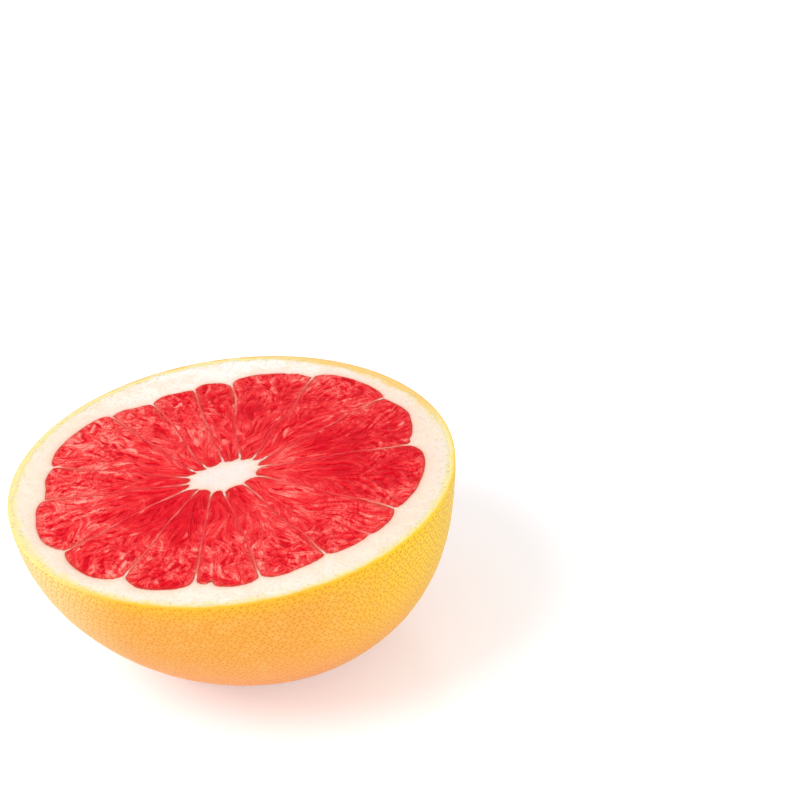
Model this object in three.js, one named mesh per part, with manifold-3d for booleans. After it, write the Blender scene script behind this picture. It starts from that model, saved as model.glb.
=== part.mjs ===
// Half of a grapefruit, cut through its middle and lying on its blossom end, cut face up.
// Units are millimetres and +Z is up. The origin lies on the surface that the half rests on,
// right under the middle of the cut face.

import * as THREE from 'three';
import { mergeVertices } from 'three/addons/utils/BufferGeometryUtils.js';
import Module from 'manifold-3d';

// ---- Driving dimensions ---------------------------------------------------------------

const FRUIT_RADIUS = 56;       // of the whole fruit at its middle, where the knife went through
const POLE_DEPTH = 52;         // from the cut face to the round fruit's own pole
const SPOT_RADIUS = 10;        // the small flat that the half rests on
const LEAN = 8.4;              // how far the pole sits off the middle, towards +X
const PEEL_THICKNESS = 1.4;    // the coloured outer skin
const FLESH_FLOOR = 9.5;       // peel and pith together, under the flesh
const MEMBRANE = 0.5;          // the wall between two segments
const GAP = 0.3;               // left between pieces that touch

// The pithy core, as the knife leaves it.
const CORE_CENTRE = new THREE.Vector2(-0.04, -0.02).multiplyScalar(FRUIT_RADIUS);
const CORE_SCALLOP = 0.03 * FRUIT_RADIUS;    // how far a segment's tip bites into the core

// The walls between the segments, counterclockwise from +X. "bearing" and "reach" place a
// wall's outer end about the middle of the cut face, "coreBearing" and "coreReach" its inner
// end about the core, and "lobe" is how far the segment after it bulges into the pith. A
// "skew" moves that bulge towards the far wall, or back to the near one if it is negative.
// Bearings are degrees, and reaches and skews are shares of the fruit's radius.
const WALLS = [
  { bearing: 6, reach: 0.8, coreBearing: 15, coreReach: 0.19, lobe: 0.88, skew: 0.026 },
  { bearing: 35, reach: 0.865, coreBearing: 30, coreReach: 0.21, lobe: 0.9, skew: 0.005 },
  { bearing: 63, reach: 0.84, coreBearing: 42, coreReach: 0.19, lobe: 0.85, skew: -0.01 },
  { bearing: 90, reach: 0.745, coreBearing: 60, coreReach: 0.15, lobe: 0.797, skew: 0.012 },
  { bearing: 104, reach: 0.75, coreBearing: 90, coreReach: 0.12, lobe: 0.795, skew: 0.01 },
  { bearing: 120, reach: 0.76, coreBearing: 134, coreReach: 0.115, lobe: 0.81, skew: 0.012 },
  { bearing: 135, reach: 0.81, coreBearing: 156, coreReach: 0.145, lobe: 0.877, skew: 0.01 },
  { bearing: 167, reach: 0.825, coreBearing: 173, coreReach: 0.175, lobe: 0.848, skew: 0 },
  { bearing: 185, reach: 0.845, coreBearing: 192, coreReach: 0.175, lobe: 0.9, skew: 0.014 },
  { bearing: 214, reach: 0.865, coreBearing: 206, coreReach: 0.195, lobe: 0.905, skew: 0 },
  { bearing: 238, reach: 0.84, coreBearing: 221, coreReach: 0.15, lobe: 0.89, skew: -0.01 },
  { bearing: 260, reach: 0.795, coreBearing: 251, coreReach: 0.15, lobe: 0.858, skew: 0.005 },
  { bearing: 279, reach: 0.81, coreBearing: 273, coreReach: 0.145, lobe: 0.848, skew: -0.006 },
  { bearing: 300, reach: 0.81, coreBearing: 316, coreReach: 0.135, lobe: 0.86, skew: 0 },
  { bearing: 330, reach: 0.805, coreBearing: 348, coreReach: 0.17, lobe: 0.872, skew: 0.01 },
];

// How finely the round shapes are divided.
const AROUND = 40;             // faces round the fruit
const RINGS = 9;               // faces from the rim to the flat spot
const LOBE_STEPS = 7;          // faces across a segment's rounded outer end
const TIP_STEPS = 3;           // faces across its inner tip
const LEVELS = 5;              // faces down its sides
const LOBE_SQUARENESS = 2.15;  // 2 is an elliptic lobe, more is squarer

// The fruit's own sphere is cut off where its radius has shrunk to the flat spot's.
const HEIGHT = POLE_DEPTH * Math.sqrt(1 - (SPOT_RADIUS / FRUIT_RADIUS) ** 2);
const OVERSHOOT = 2;           // how far a cutting body runs past what it cuts

const wasm = await Module();
wasm.setup();

// ---- Helpers ----------------------------------------------------------------------------

// Moves every point sideways the further it lies under the cut face, so the pole sits off
// the middle while the cut face and the flat spot stay level.
function leaned(geometry) {
  const positions = geometry.getAttribute('position');
  for (let index = 0; index < positions.count; index += 1) {
    const depth = Math.max(0, HEIGHT - positions.getZ(index));
    const share = depth / POLE_DEPTH;
    positions.setX(index, positions.getX(index) + LEAN * share * share);
  }
  return geometry;
}

// A closed three.js geometry as a manifold-3d solid, for joining and cutting.
function solidOf(geometry) {
  const bare = geometry.clone();
  bare.deleteAttribute('normal');
  bare.deleteAttribute('uv');
  const merged = mergeVertices(bare, 1e-4);
  const vertProperties = new Float32Array(merged.getAttribute('position').array);
  const triVerts = new Uint32Array(merged.getIndex().array);
  return new wasm.Manifold(new wasm.Mesh({ numProp: 3, vertProperties, triVerts }));
}

// A manifold-3d solid back as a three.js geometry.
function geometryOf(solid) {
  const cut = solid.getMesh();
  const geometry = new THREE.BufferGeometry();
  geometry.setAttribute('position', new THREE.BufferAttribute(cut.vertProperties, cut.numProp));
  geometry.setIndex(new THREE.BufferAttribute(cut.triVerts, 1));
  geometry.computeVertexNormals();
  return geometry;
}

// The outline of a round bowl, from the axis at its foot out and up to the height "top".
// It is a quarter ellipse with its foot cut flat at "floor".
function bowlCurve(radius, poleDepth, floor, top) {
  const points = [new THREE.Vector2(0, floor)];
  const footAngle = Math.asin(Math.min(1, (HEIGHT - floor) / poleDepth));
  for (let ring = 0; ring <= RINGS; ring += 1) {
    const angle = footAngle * (1 - ring / RINGS);
    points.push(new THREE.Vector2(radius * Math.cos(angle), HEIGHT - poleDepth * Math.sin(angle)));
  }
  if (top > HEIGHT) {
    points.push(new THREE.Vector2(radius, top));
  }
  return points.filter((point, index) => index === 0 || point.x > 1e-6);
}

// Turns an outline round the fruit's axis. LatheGeometry turns about Y, so it is stood up.
function turned(points) {
  return new THREE.LatheGeometry(points, AROUND).rotateX(Math.PI / 2);
}

// A solid bowl: its outline closed along the cut face, back to the axis.
function bowl(radius, poleDepth, floor, top = HEIGHT) {
  const outline = bowlCurve(radius, poleDepth, floor, top);
  outline.push(new THREE.Vector2(0, top));
  return leaned(turned(outline));
}

function polar(centre, radius, degrees) {
  const angle = THREE.MathUtils.degToRad(degrees);
  return new THREE.Vector2(centre.x + radius * Math.cos(angle), centre.y + radius * Math.sin(angle));
}

// The wall after the last one is the first one again, a full turn on.
function wallAt(index) {
  const wall = WALLS[index % WALLS.length];
  const turns = index >= WALLS.length ? 360 : 0;
  return { ...wall, bearing: wall.bearing + turns, coreBearing: wall.coreBearing + turns };
}

// 0 at both ends of 0..1 and 1 in the middle, rising steeply like an ellipse.
function bulge(share, squareness) {
  return (1 - Math.abs(2 * share - 1) ** squareness) ** (1 / squareness);
}

// A segment as the cut face shows it: out along one wall, round the lobe, back in along the
// next wall and round the tip. Counterclockwise, out to the middle of both walls.
function segmentOutline(index) {
  const near = wallAt(index);
  const far = wallAt(index + 1);
  const middle = new THREE.Vector2(0, 0);
  const outline = [];
  for (let step = 0; step <= LOBE_STEPS; step += 1) {
    const share = (1 - Math.cos(Math.PI * step / LOBE_STEPS)) / 2;
    const base = THREE.MathUtils.lerp(near.reach, far.reach, share);
    const rounded = base + (near.lobe - base) * bulge(share, LOBE_SQUARENESS);
    const reach = rounded - near.skew * Math.sin(2 * Math.PI * share);
    const bearing = THREE.MathUtils.lerp(near.bearing, far.bearing, share);
    outline.push(polar(middle, reach * FRUIT_RADIUS, bearing));
  }
  for (let step = 0; step <= TIP_STEPS; step += 1) {
    const share = step / TIP_STEPS;
    const reach = THREE.MathUtils.lerp(far.coreReach, near.coreReach, share) * FRUIT_RADIUS;
    const bearing = THREE.MathUtils.lerp(far.coreBearing, near.coreBearing, share);
    outline.push(polar(CORE_CENTRE, reach - CORE_SCALLOP * bulge(share, 2), bearing));
  }
  return outline;
}

// Draws a counterclockwise outline in by "distance", the same all the way round.
function drawnIn(outline, distance) {
  const count = outline.length;
  return outline.map((point, index) => {
    const before = outline[(index + count - 1) % count];
    const after = outline[(index + 1) % count];
    const incoming = point.clone().sub(before).normalize();
    const outgoing = after.clone().sub(point).normalize();
    const inward = new THREE.Vector2(-incoming.y - outgoing.y, incoming.x + outgoing.x);
    return point.clone().addScaledVector(inward, distance / (1 + incoming.dot(outgoing)));
  });
}

// The wedge that a segment, or the pocket round it, fills: its outline taken straight down.
function wedge(index, distance, top) {
  const shape = new THREE.Shape(drawnIn(segmentOutline(index), distance));
  const foot = FLESH_FLOOR - OVERSHOOT;
  const geometry = new THREE.ExtrudeGeometry(shape, {
    depth: top - foot,
    steps: LEVELS,
    bevelEnabled: false,
  });
  return leaned(geometry.translate(0, 0, foot));
}

// The flesh of one segment is its wedge, rounded off below by a bowl as wide as its lobe.
function fleshSolid(index, spare, top) {
  const radius = wallAt(index).lobe * FRUIT_RADIUS + spare;
  const floor = FLESH_FLOOR - spare;
  const round = solidOf(bowl(radius, HEIGHT - floor, floor, top));
  const wall = MEMBRANE / 2 + GAP - spare;
  return solidOf(wedge(index, wall, top)).intersect(round);
}

// ---- Materials --------------------------------------------------------------------------

const peelMaterial = new THREE.MeshStandardMaterial({ color: 0xf9b050, roughness: 0.45, metalness: 0 });
const pithMaterial = new THREE.MeshStandardMaterial({ color: 0xfcf0dc, roughness: 0.8, metalness: 0 });
const fleshMaterial = new THREE.MeshStandardMaterial({ color: 0xf24246, roughness: 0.3, metalness: 0 });

// ---- Pieces -----------------------------------------------------------------------------

const grapefruit = new THREE.Group();

function addPiece(name, geometry, material) {
  const piece = new THREE.Mesh(geometry, material);
  piece.name = name;
  grapefruit.add(piece);
}

// The coloured skin: a thin bowl, the same thickness all over, open at the cut face.
function peelGeometry() {
  const outside = bowlCurve(FRUIT_RADIUS, POLE_DEPTH, 0, HEIGHT);
  const inside = bowlCurve(
    FRUIT_RADIUS - PEEL_THICKNESS,
    POLE_DEPTH - PEEL_THICKNESS,
    PEEL_THICKNESS,
    HEIGHT,
  );
  return leaned(turned([...outside, ...inside.reverse()]));
}

// The white body inside it: rind, core and the walls between the segments, all grown as one.
function pithGeometry() {
  const skin = PEEL_THICKNESS + GAP;
  let body = solidOf(bowl(FRUIT_RADIUS - skin, POLE_DEPTH - skin, skin));
  for (let index = 0; index < WALLS.length; index += 1) {
    body = body.subtract(fleshSolid(index, GAP, HEIGHT + OVERSHOOT));
  }
  return geometryOf(body);
}

addPiece('peel', peelGeometry(), peelMaterial);
addPiece('pith', pithGeometry(), pithMaterial);
for (let index = 0; index < WALLS.length; index += 1) {
  const name = `segment_${String(index + 1).padStart(2, '0')}`;
  addPiece(name, geometryOf(fleshSolid(index, 0, HEIGHT)), fleshMaterial);
}

export default grapefruit;
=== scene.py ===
# %% [markdown]
# # Half a grapefruit, cut face up
#
# This lesson makes half a red grapefruit around a imported CAD model of a thin peel, the white
# pith inside it and fifteen segments of flesh. Each of these plain solids is replaced by a
# finely modelled piece. The frame is loaded first, and the box of its peel gives the sizes.

# %% Load the frame
import math
import bmesh
import bpy
import numpy as np
from mathutils import Matrix, Vector


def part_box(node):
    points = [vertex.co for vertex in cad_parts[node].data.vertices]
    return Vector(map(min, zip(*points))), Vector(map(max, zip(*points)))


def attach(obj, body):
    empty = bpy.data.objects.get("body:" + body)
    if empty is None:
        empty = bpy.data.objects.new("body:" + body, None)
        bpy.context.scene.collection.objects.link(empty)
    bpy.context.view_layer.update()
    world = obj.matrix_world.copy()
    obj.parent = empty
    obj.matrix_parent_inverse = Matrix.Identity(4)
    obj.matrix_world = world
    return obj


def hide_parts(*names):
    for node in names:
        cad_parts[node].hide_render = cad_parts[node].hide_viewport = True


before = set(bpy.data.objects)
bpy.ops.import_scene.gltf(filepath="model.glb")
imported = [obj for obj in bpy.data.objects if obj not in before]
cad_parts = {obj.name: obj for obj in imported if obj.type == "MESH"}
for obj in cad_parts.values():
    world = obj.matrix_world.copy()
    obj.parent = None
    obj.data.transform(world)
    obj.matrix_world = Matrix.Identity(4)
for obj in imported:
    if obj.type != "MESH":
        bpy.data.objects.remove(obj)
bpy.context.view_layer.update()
print("nodes in the frame:", len(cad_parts))

# %% [markdown]
# ## Sizes
#
# The radius and the height are read from the frame. The rest repeats the few sizes that
# drive the CAD source, which this script can't read. All lengths are in metres, so small ones
# are written as millimetres times MM. MEMBRANE is how thick the wall between two segments is.

# %% Driving sizes
MM = 0.001
PEEL_LOW, PEEL_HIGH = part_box("peel")
FRUIT_RADIUS = (PEEL_HIGH[0] - PEEL_LOW[0]) / 2
HEIGHT = PEEL_HIGH[2]
SPOT_RADIUS = 10 * MM
POLE_DEPTH = HEIGHT / math.sqrt(1 - (SPOT_RADIUS / FRUIT_RADIUS) ** 2)
LEAN = 8.4 * MM
PEEL_THICKNESS = 1.4 * MM
FLESH_FLOOR = 9.5 * MM
MEMBRANE = 0.5 * MM
CORE_CENTRE = np.array([-0.04, -0.02]) * FRUIT_RADIUS
CORE_SCALLOP = 0.03 * FRUIT_RADIUS
LOBE_SQUARENESS = 2.15
NOTCH_SHARPNESS = 1.3
print("fruit radius", round(FRUIT_RADIUS / MM, 1), "mm, height", round(HEIGHT / MM, 1), "mm")

# %% [markdown]
# ## The walls between the segments
#
# A real grapefruit is never divided evenly: here some segments are twice as wide as others.
# Each row is one white wall, counterclockwise from +X: at which bearing and how far out it
# ends, where it starts at the core, and how far the segment after it bulges into the pith. A
# skew moves that bulge towards the far wall, or with a minus sign back to the near one. Reaches
# and skews are shares of the radius. A notch is a dent in a lobe: its place across the lobe,
# its depth and its width.

# %% The fifteen walls
WALL_SIZES = ["bearing", "reach", "core_bearing", "core_reach", "lobe", "skew"]
WALLS = [dict(zip(WALL_SIZES, row)) for row in [
    (6, 0.79, 15, 0.19, 0.878, 0.02),
    (35, 0.865, 30, 0.21, 0.90, 0.005),
    (63, 0.84, 42, 0.19, 0.85, -0.01),
    (90, 0.745, 60, 0.15, 0.80, 0.006),
    (104, 0.75, 90, 0.12, 0.795, 0.01),
    (120, 0.76, 134, 0.115, 0.81, 0.012),
    (135, 0.81, 156, 0.145, 0.877, 0.01),
    (167, 0.825, 173, 0.175, 0.848, 0.0),
    (185, 0.845, 192, 0.175, 0.90, 0.014),
    (214, 0.865, 206, 0.195, 0.905, 0.0),
    (238, 0.84, 221, 0.15, 0.89, -0.01),
    (260, 0.795, 251, 0.15, 0.858, 0.005),
    (279, 0.81, 273, 0.145, 0.848, -0.006),
    (300, 0.81, 316, 0.135, 0.86, 0.0),
    (330, 0.805, 348, 0.17, 0.872, 0.01),
]]
NOTCHES = {
    0: (0.10, 0.018, 0.07), 2: (0.33, 0.006, 0.05), 3: (0.05, 0.024, 0.14),
    11: (0.23, 0.03, 0.042), 13: (0.5, 0.014, 0.05),
}


def between(index, size, share):
    """A size that goes evenly from a segment's near wall to its far one."""
    near, far = WALLS[index][size], WALLS[(index + 1) % len(WALLS)][size]
    if size.endswith("bearing") and far < near:
        far += 360
    return near + (far - near) * share


print("segments:", len(WALLS))

# %% [markdown]
# ## The camera
#
# The camera looks down on the cut face from the front, through a long lens, and is rolled a
# little about its own axis. It is placed by the distance to the middle of the cut face and by
# how far that point lies off the middle of the view.

# %% Camera
ELEVATION = math.radians(31.6)
ROLL = math.radians(5.9)
DISTANCE = 10 * FRUIT_RADIUS
LENS = 101.0
ASIDE = -0.751 * FRUIT_RADIUS
BELOW = -0.317 * FRUIT_RADIUS


def make_camera():
    turn = Matrix.Rotation(math.radians(90) - ELEVATION, 3, "X") @ Matrix.Rotation(-ROLL, 3, "Z")
    camera = bpy.data.objects.new("camera", bpy.data.cameras.new("camera"))
    camera.data.lens = LENS
    camera.location = Vector((0, 0, HEIGHT)) + turn @ Vector((-ASIDE, -BELOW, DISTANCE))
    camera.rotation_euler = turn.to_euler()
    bpy.context.collection.objects.link(camera)
    bpy.context.scene.camera = camera
    return camera


camera = make_camera()
print("camera at", [round(v, 3) for v in camera.location])

# %% [markdown]
# ## Natural unevenness
#
# Nothing on a fruit is a clean curve. A cheap way to get smooth unevenness for thousands of
# points at once is to add up a few dozen cosine waves that run in random directions. The seed
# fixes the waves, so the result is the same every time.

# %% Waves and easing
def waves(points, wavelength, seed, count=28):
    """Smooth noise of about unit strength, with bumps about half a wavelength wide."""
    rng = np.random.default_rng(seed)
    directions = rng.normal(size=(count, points.shape[1]))
    directions /= lengths(directions)[:, None]
    pitch = 2 * math.pi / (wavelength * rng.uniform(0.7, 1.4, count))
    phases = rng.uniform(0, 2 * math.pi, count)
    return np.cos(points @ (directions * pitch[:, None]).T + phases).sum(1) * math.sqrt(2 / count)


def lengths(points):
    return np.linalg.norm(points, axis=-1)


def eased(value, start, end):
    """0 before start, 1 after end, and a smooth rise between them."""
    share = np.clip((value - start) / (end - start), 0, 1)
    return share * share * (3 - 2 * share)


def polar(radius, degrees):
    angle = np.radians(degrees)
    return np.stack([radius * np.cos(angle), radius * np.sin(angle)], -1)


WANDER_SLOW, WANDER_QUICK = 0.30 * MM, 0.05 * MM
FADE_FROM, FADE_TO = 0.86 * FRUIT_RADIUS, 0.95 * FRUIT_RADIUS


def wandering(points):
    """Shifts points of the cut face a little, all pieces alike, so that walls aren't ruled."""
    fade = 1 - eased(lengths(points), FADE_FROM, FADE_TO)
    slow = np.stack([waves(points, 24 * MM, 11), waves(points, 24 * MM, 12)], -1)
    quick = np.stack([waves(points, 6 * MM, 13), waves(points, 6 * MM, 14)], -1)
    return points + (WANDER_SLOW * slow + WANDER_QUICK * quick) * fade[:, None]


sample = polar(0.5 * FRUIT_RADIUS, np.arange(0.0, 360.0, 5.0))
print("walls wander by up to", round(np.abs(wandering(sample) - sample).max() / MM, 2), "mm")

# %% [markdown]
# ## The plan of a segment
#
# Seen from above, a segment runs from a rounded tip at the core to a rounded lobe in the
# pith. Both ends are a straight run from wall to wall with a bulge that rises like a flattened
# ellipse. The outline is then drawn in by half the thickness of the white wall, so that two
# neighbours leave the wall standing between them.

# %% Outline of a segment
def bulge(share, squareness):
    """0 at both ends of 0..1 and 1 in the middle, rising steeply like an ellipse."""
    return (1 - np.abs(2 * share - 1) ** squareness) ** (1 / squareness)


def lobe_curve(index, share):
    reach = between(index, "reach", share)
    reach = reach + (WALLS[index]["lobe"] - reach) * bulge(share, LOBE_SQUARENESS)
    reach = reach - WALLS[index]["skew"] * np.sin(2 * np.pi * share)
    if index in NOTCHES:
        place, depth, width = NOTCHES[index]
        reach = reach - depth * np.exp(-(np.abs((share - place) / width) ** NOTCH_SHARPNESS))
    return polar(reach * FRUIT_RADIUS, between(index, "bearing", share))


def tip_curve(index, share):
    reach = between(index, "core_reach", share) * FRUIT_RADIUS
    reach = reach - CORE_SCALLOP * bulge(share, 2.0)
    return CORE_CENTRE + polar(reach, between(index, "core_bearing", share))


def drawn_in(outline, distance):
    """A closed counterclockwise outline moved inward by that distance all round."""
    incoming = outline - np.roll(outline, 1, axis=0)
    incoming /= lengths(incoming)[:, None]
    outgoing = np.roll(incoming, -1, axis=0)
    inward = incoming + outgoing
    inward = np.stack([-inward[:, 1], inward[:, 0]], -1)
    return outline + inward * (distance / (1 + (incoming * outgoing).sum(1)))[:, None]


def segment_outline(index, columns, distance):
    """The lobe's points and then the tip's, counterclockwise, drawn in by that distance."""
    share = (1 - np.cos(np.pi * np.arange(columns + 1) / columns)) / 2
    whole = np.concatenate([lobe_curve(index, share), tip_curve(index, share)[::-1]])
    return drawn_in(whole, distance)


def segment_ends(index, columns, distance):
    """The tip and the lobe of that outline, each from wall to wall."""
    outline = segment_outline(index, columns, distance)
    return outline[columns + 1:][::-1], outline[:columns + 1]


def segment_width(index):
    """How wide the segment is at its lobe."""
    near, far = lobe_curve(index, np.array([0.0, 1.0]))
    return float(lengths(far - near))


widths = [segment_width(index) for index in range(len(WALLS))]
print("segment widths in mm:", [round(width / MM, 1) for width in widths])

# %% [markdown]
# ## Below the cut
#
# The half isn't a perfect bowl: its pole sits off the middle, so everything below the cut
# leans towards +X. Segments and their pockets also narrow with depth. Both follow the curves
# of the CAD solids, so the pieces stay inside them.

# %% Shapes below the cut face
FLESH_DEPTH = HEIGHT - FLESH_FLOOR
LEAST_LENGTH = 0.04


def lean_at(depth):
    return LEAN * (depth / POLE_DEPTH) ** 2


def narrowed(depth, radius, tip_radius):
    """How much of a segment's length is left at that depth."""
    reach = radius * np.sqrt(np.maximum(0, 1 - (depth / FLESH_DEPTH) ** 2))
    return np.clip((reach - tip_radius) / (radius - tip_radius), LEAST_LENGTH, 1)


def at_height(points, height):
    """Flat points lifted to a height, and moved sideways by the fruit's lean there."""
    height = np.broadcast_to(height, len(points))
    depth = np.maximum(0, HEIGHT - height)
    return np.stack([points[:, 0] + lean_at(depth), points[:, 1], height], -1)


POCKET_LEVELS = MM * np.array([1, 4, 12, 22, 31, 37, 40])
print("lean at the pole:", round(lean_at(HEIGHT) / MM, 1), "mm")

# %% [markdown]
# ## Helpers for meshes
#
# Flesh and pith start as plain bmesh grids. A grid's own x and y say how far along and across
# the piece a vertex lies, and a function of the piece then gives its real place. Open edges
# are extruded on, ring by ring, and the last ring is filled.

# %% Grid and ring helpers
def plan(vertices):
    """Where the vertices lie, seen from above."""
    return np.array([vertex.co[:2] for vertex in vertices])


def grid_shares(bm):
    """How far each vertex of a one by one grid lies along it and across it, from 0 to 1."""
    return (plan(bm.verts) + 0.5).T


def put(vertices, points):
    for vertex, point in zip(vertices, points):
        vertex.co = point


def paint(vertices, layer, *numbers):
    """Gives each vertex its numbers, at most three, in a layer."""
    for vertex, row in zip(vertices, zip(*numbers)):
        vertex[layer] = (*row, 0, 0)[:3]


def open_edges(bm):
    return [edge for edge in bm.edges if edge.is_boundary]


def extrude_ring(bm, edges):
    """Extrudes a closed ring of edges. Returns the new ring's edges and vertices."""
    made = bmesh.ops.extrude_edge_only(bm, edges=edges)["geom"]
    ring = [item for item in made if isinstance(item, bmesh.types.BMEdge) and item.is_boundary]
    return ring, [item for item in made if isinstance(item, bmesh.types.BMVert)]


def rings_down(bm, ring, levels):
    """Extrudes a ring once for each level. The last one is filled."""
    for level in levels:
        ring, vertices = extrude_ring(bm, ring)
        yield level, vertices
    bmesh.ops.contextual_create(bm, geom=ring)


def object_from(name, bm, material):
    """Turns a bmesh into an object of the scene."""
    mesh = bpy.data.meshes.new(name)
    bm.to_mesh(mesh)
    bm.free()
    mesh.materials.append(material)
    made = bpy.data.objects.new(name, mesh)
    bpy.context.collection.objects.link(made)
    return made


def finish_piece(name, bm, material):
    """Turns a bmesh into a smooth piece of the fruit, its faces pointing outwards."""
    bmesh.ops.recalc_face_normals(bm, faces=bm.faces[:])
    if bm.calc_volume(signed=True) < 0:
        bmesh.ops.reverse_faces(bm, faces=bm.faces[:])
    piece = object_from(name, bm, material)
    piece.data.shade_smooth()
    piece.data.set_sharp_from_angle(angle=math.radians(60))
    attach(piece, "root")
    return piece


def store(piece, name, top, below):
    """Keeps three numbers for each vertex: its own on top, and the same ones for the rest."""
    rest = len(piece.data.vertices) - len(top)
    values = np.concatenate([top, np.tile(below, (rest, 1))])
    attribute = piece.data.attributes.new(name, "FLOAT_VECTOR", "POINT")
    attribute.data.foreach_set("vector", np.asarray(values, np.float32).ravel())


def hang_bowl(bm, ring, levels, slack, drop):
    """Lets a ring down along the inside of the skin and closes it below."""
    for depth, vertices in rings_down(bm, ring, levels):
        flat = plan(vertices) - [[lean_at(float(HEIGHT - vertices[0].co.z)), 0]]
        heading = flat / lengths(flat)[:, None]
        share = math.sqrt(1 - (depth / (POLE_DEPTH - PEEL_THICKNESS)) ** 2)
        radius = (FRUIT_RADIUS - PEEL_THICKNESS - slack) * share
        put(vertices, at_height(heading * radius, HEIGHT - depth - drop))


def triangles(piece):
    return sum(len(polygon.vertices) - 2 for polygon in piece.data.polygons)


# %% [markdown]
# ## Helpers for materials
#
# The materials are node trees. A small class adds a node, sets its sockets, and links
# whatever is given as an output socket.

# %% Node helper
def linear(colour):
    """A colour from 0 to 255, turned into the linear light that shaders use."""
    scaled = np.array(colour) / 255
    bright = ((scaled + 0.055) / 1.055) ** 2.4
    return (*np.where(scaled <= 0.04045, scaled / 12.92, bright).tolist(), 1.0)


class Tree:
    """Adds and links the nodes of one material, or of the sky."""

    def __init__(self, owner, shader="Principled BSDF"):
        owner.use_nodes = True
        self.owner = owner
        self.nodes = owner.node_tree.nodes
        self.links = owner.node_tree.links
        self.shader = self.nodes[shader]

    def fill(self, socket, value):
        if isinstance(value, bpy.types.NodeSocket):
            self.links.new(value, socket)
        else:
            socket.default_value = linear(value) if socket.type == "RGBA" else value

    def add(self, kind, inputs, output=0, **settings):
        """Adds a node, fills its inputs, and returns one of its outputs."""
        node = self.nodes.new("ShaderNode" + kind)
        for key, value in settings.items():
            setattr(node, key, value)
        for key, value in inputs.items():
            self.fill(node.inputs[key], value)
        return node.outputs[output]

    def math(self, operation, first, second=0.0, clamp=False):
        inputs = {0: first, 1: second}
        return self.add("Math", inputs, operation=operation, use_clamp=clamp)

    def times(self, first, second):
        return self.math("MULTIPLY", first, second)

    def mix(self, factor, first, second):
        """One colour turned into another. Sockets 6 and 7 are the node's colours."""
        inputs = {0: factor, 6: first, 7: second}
        return self.add("Mix", inputs, output=2, data_type="RGBA")

    def ramp(self, factor, low, high):
        """A smooth 0 to 1 as the factor goes from low to high."""
        inputs = {"Value": factor, "From Min": low, "From Max": high}
        return self.add("MapRange", inputs, interpolation_type="SMOOTHSTEP")

    def noise(self, vector, scale, detail=2.0, roughness=0.5, distortion=0.0):
        inputs = {"Vector": vector, "Scale": scale, "Detail": detail}
        inputs |= {"Roughness": roughness, "Distortion": distortion}
        return self.add("TexNoise", inputs)

    def total(self, start, *weighted):
        """A starting number plus each socket times its weight."""
        result = start
        for socket, weight in weighted:
            inputs = {0: socket, 1: weight, 2: result}
            result = self.add("Math", inputs, operation="MULTIPLY_ADD")
        return result

    def shades(self, factor, *stops):
        """A colour ramp. Each stop is a place from 0 to 1 and a colour, the first at 0."""
        node = self.nodes.new("ShaderNodeValToRGB")
        elements = node.color_ramp.elements
        elements.remove(elements[1])
        elements[0].color = linear(stops[0][1])
        for position, colour in stops[1:]:
            elements.new(position).color = linear(colour)
        self.fill(node.inputs[0], factor)
        return node.outputs[0]

    def tinted(self, colour, *tints):
        """A colour turned into one tint after another, each as far as its factor says."""
        for factor, tint in tints:
            colour = self.mix(factor, colour, tint)
        return colour

    def split(self, vector):
        node = self.nodes.new("ShaderNodeSeparateXYZ")
        self.fill(node.inputs[0], vector)
        return node.outputs

    def attribute(self, name):
        return self.split(self.add("Attribute", {}, "Vector", attribute_name=name))

    def place(self):
        return self.add("TexCoord", {}, output="Object")

    def in_radii(self, place):
        """How far to the side and to the back a point lies, in fruit radii."""
        inputs = {0: place, "Scale": 1 / FRUIT_RADIUS}
        side, back, _ = self.split(self.add("VectorMath", inputs, operation="SCALE"))
        return side, back

    def near(self, place, x, y, start, end):
        """1 within start of an upright line at x and y, 0 beyond end, all in fruit radii."""
        level = self.add("VectorMath", {0: place, 1: (1, 1, 0)}, operation="MULTIPLY")
        inputs = {0: level, 1: (x * FRUIT_RADIUS, y * FRUIT_RADIUS, 0)}
        distance = self.add("VectorMath", inputs, output="Value", operation="DISTANCE")
        return self.ramp(distance, end * FRUIT_RADIUS, start * FRUIT_RADIUS)

    def set(self, **values):
        for key, value in values.items():
            self.fill(self.shader.inputs[key.replace("_", " ")], value)

    def bump(self, height, distance):
        return self.add("Bump", {"Height": height, "Distance": distance})


# %% [markdown]
# ## Flesh material
#
# Flesh is a bundle of thin-walled juice sacs: deep red juice behind pale skins, wet and a
# little see-through. The mesh keeps a few numbers for each point: how far along its sac and
# across it the point lies, the sac's own random number, how near a gap between sacs is, and
# how high the sac stood before the knife shaved it. Each of these, and some noise, makes the
# flesh a little paler or deeper, and so do a few wide zones where the fruit is riper. It all
# adds up to one number, the tone, which a colour ramp turns into a red, so that every shade
# is one that flesh can have. Subsurface light gives the depth, a thin coat the wet shine.
# Part of the colour is painted light: darker gaps, hollows, stripes beside the pale walls and
# a darker rim at the pith are painted shade, and a few sacs carry a painted highlight.

# %% Tone of the flesh
RIPE_ZONES = [
    (-0.20, -0.19, 0.13, 0.44, -0.28),
    (0.60, 0.06, 0.12, 0.42, -0.29),
    (0.18, 0.46, 0.12, 0.42, -0.16),
]


def fibres(tree, along, across, chance):
    """Noise drawn out along a sac, another one for each sac, and its fine stripes."""
    parts = {0: tree.times(along, 0.9), 1: tree.times(across, 1.9), 2: tree.times(chance, 37.0)}
    streak = tree.noise(tree.add("CombineXYZ", parts), 1.6, detail=3.0, distortion=0.8)
    return streak, tree.math("SINE", tree.times(streak, 24.0))


def painted_highlight(tree, along, across, chance, streak):
    """A painted highlight: the pale middle of the few sacs that stand a little proud."""
    off = tree.math("ADD", tree.math("POWER", across, 2.0), tree.math("POWER", along, 2.0))
    middle = tree.ramp(tree.math("ADD", off, tree.times(streak, 0.8)), 1.3, 0.4)
    return tree.times(tree.ramp(chance, 0.94, 0.95), middle)


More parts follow.
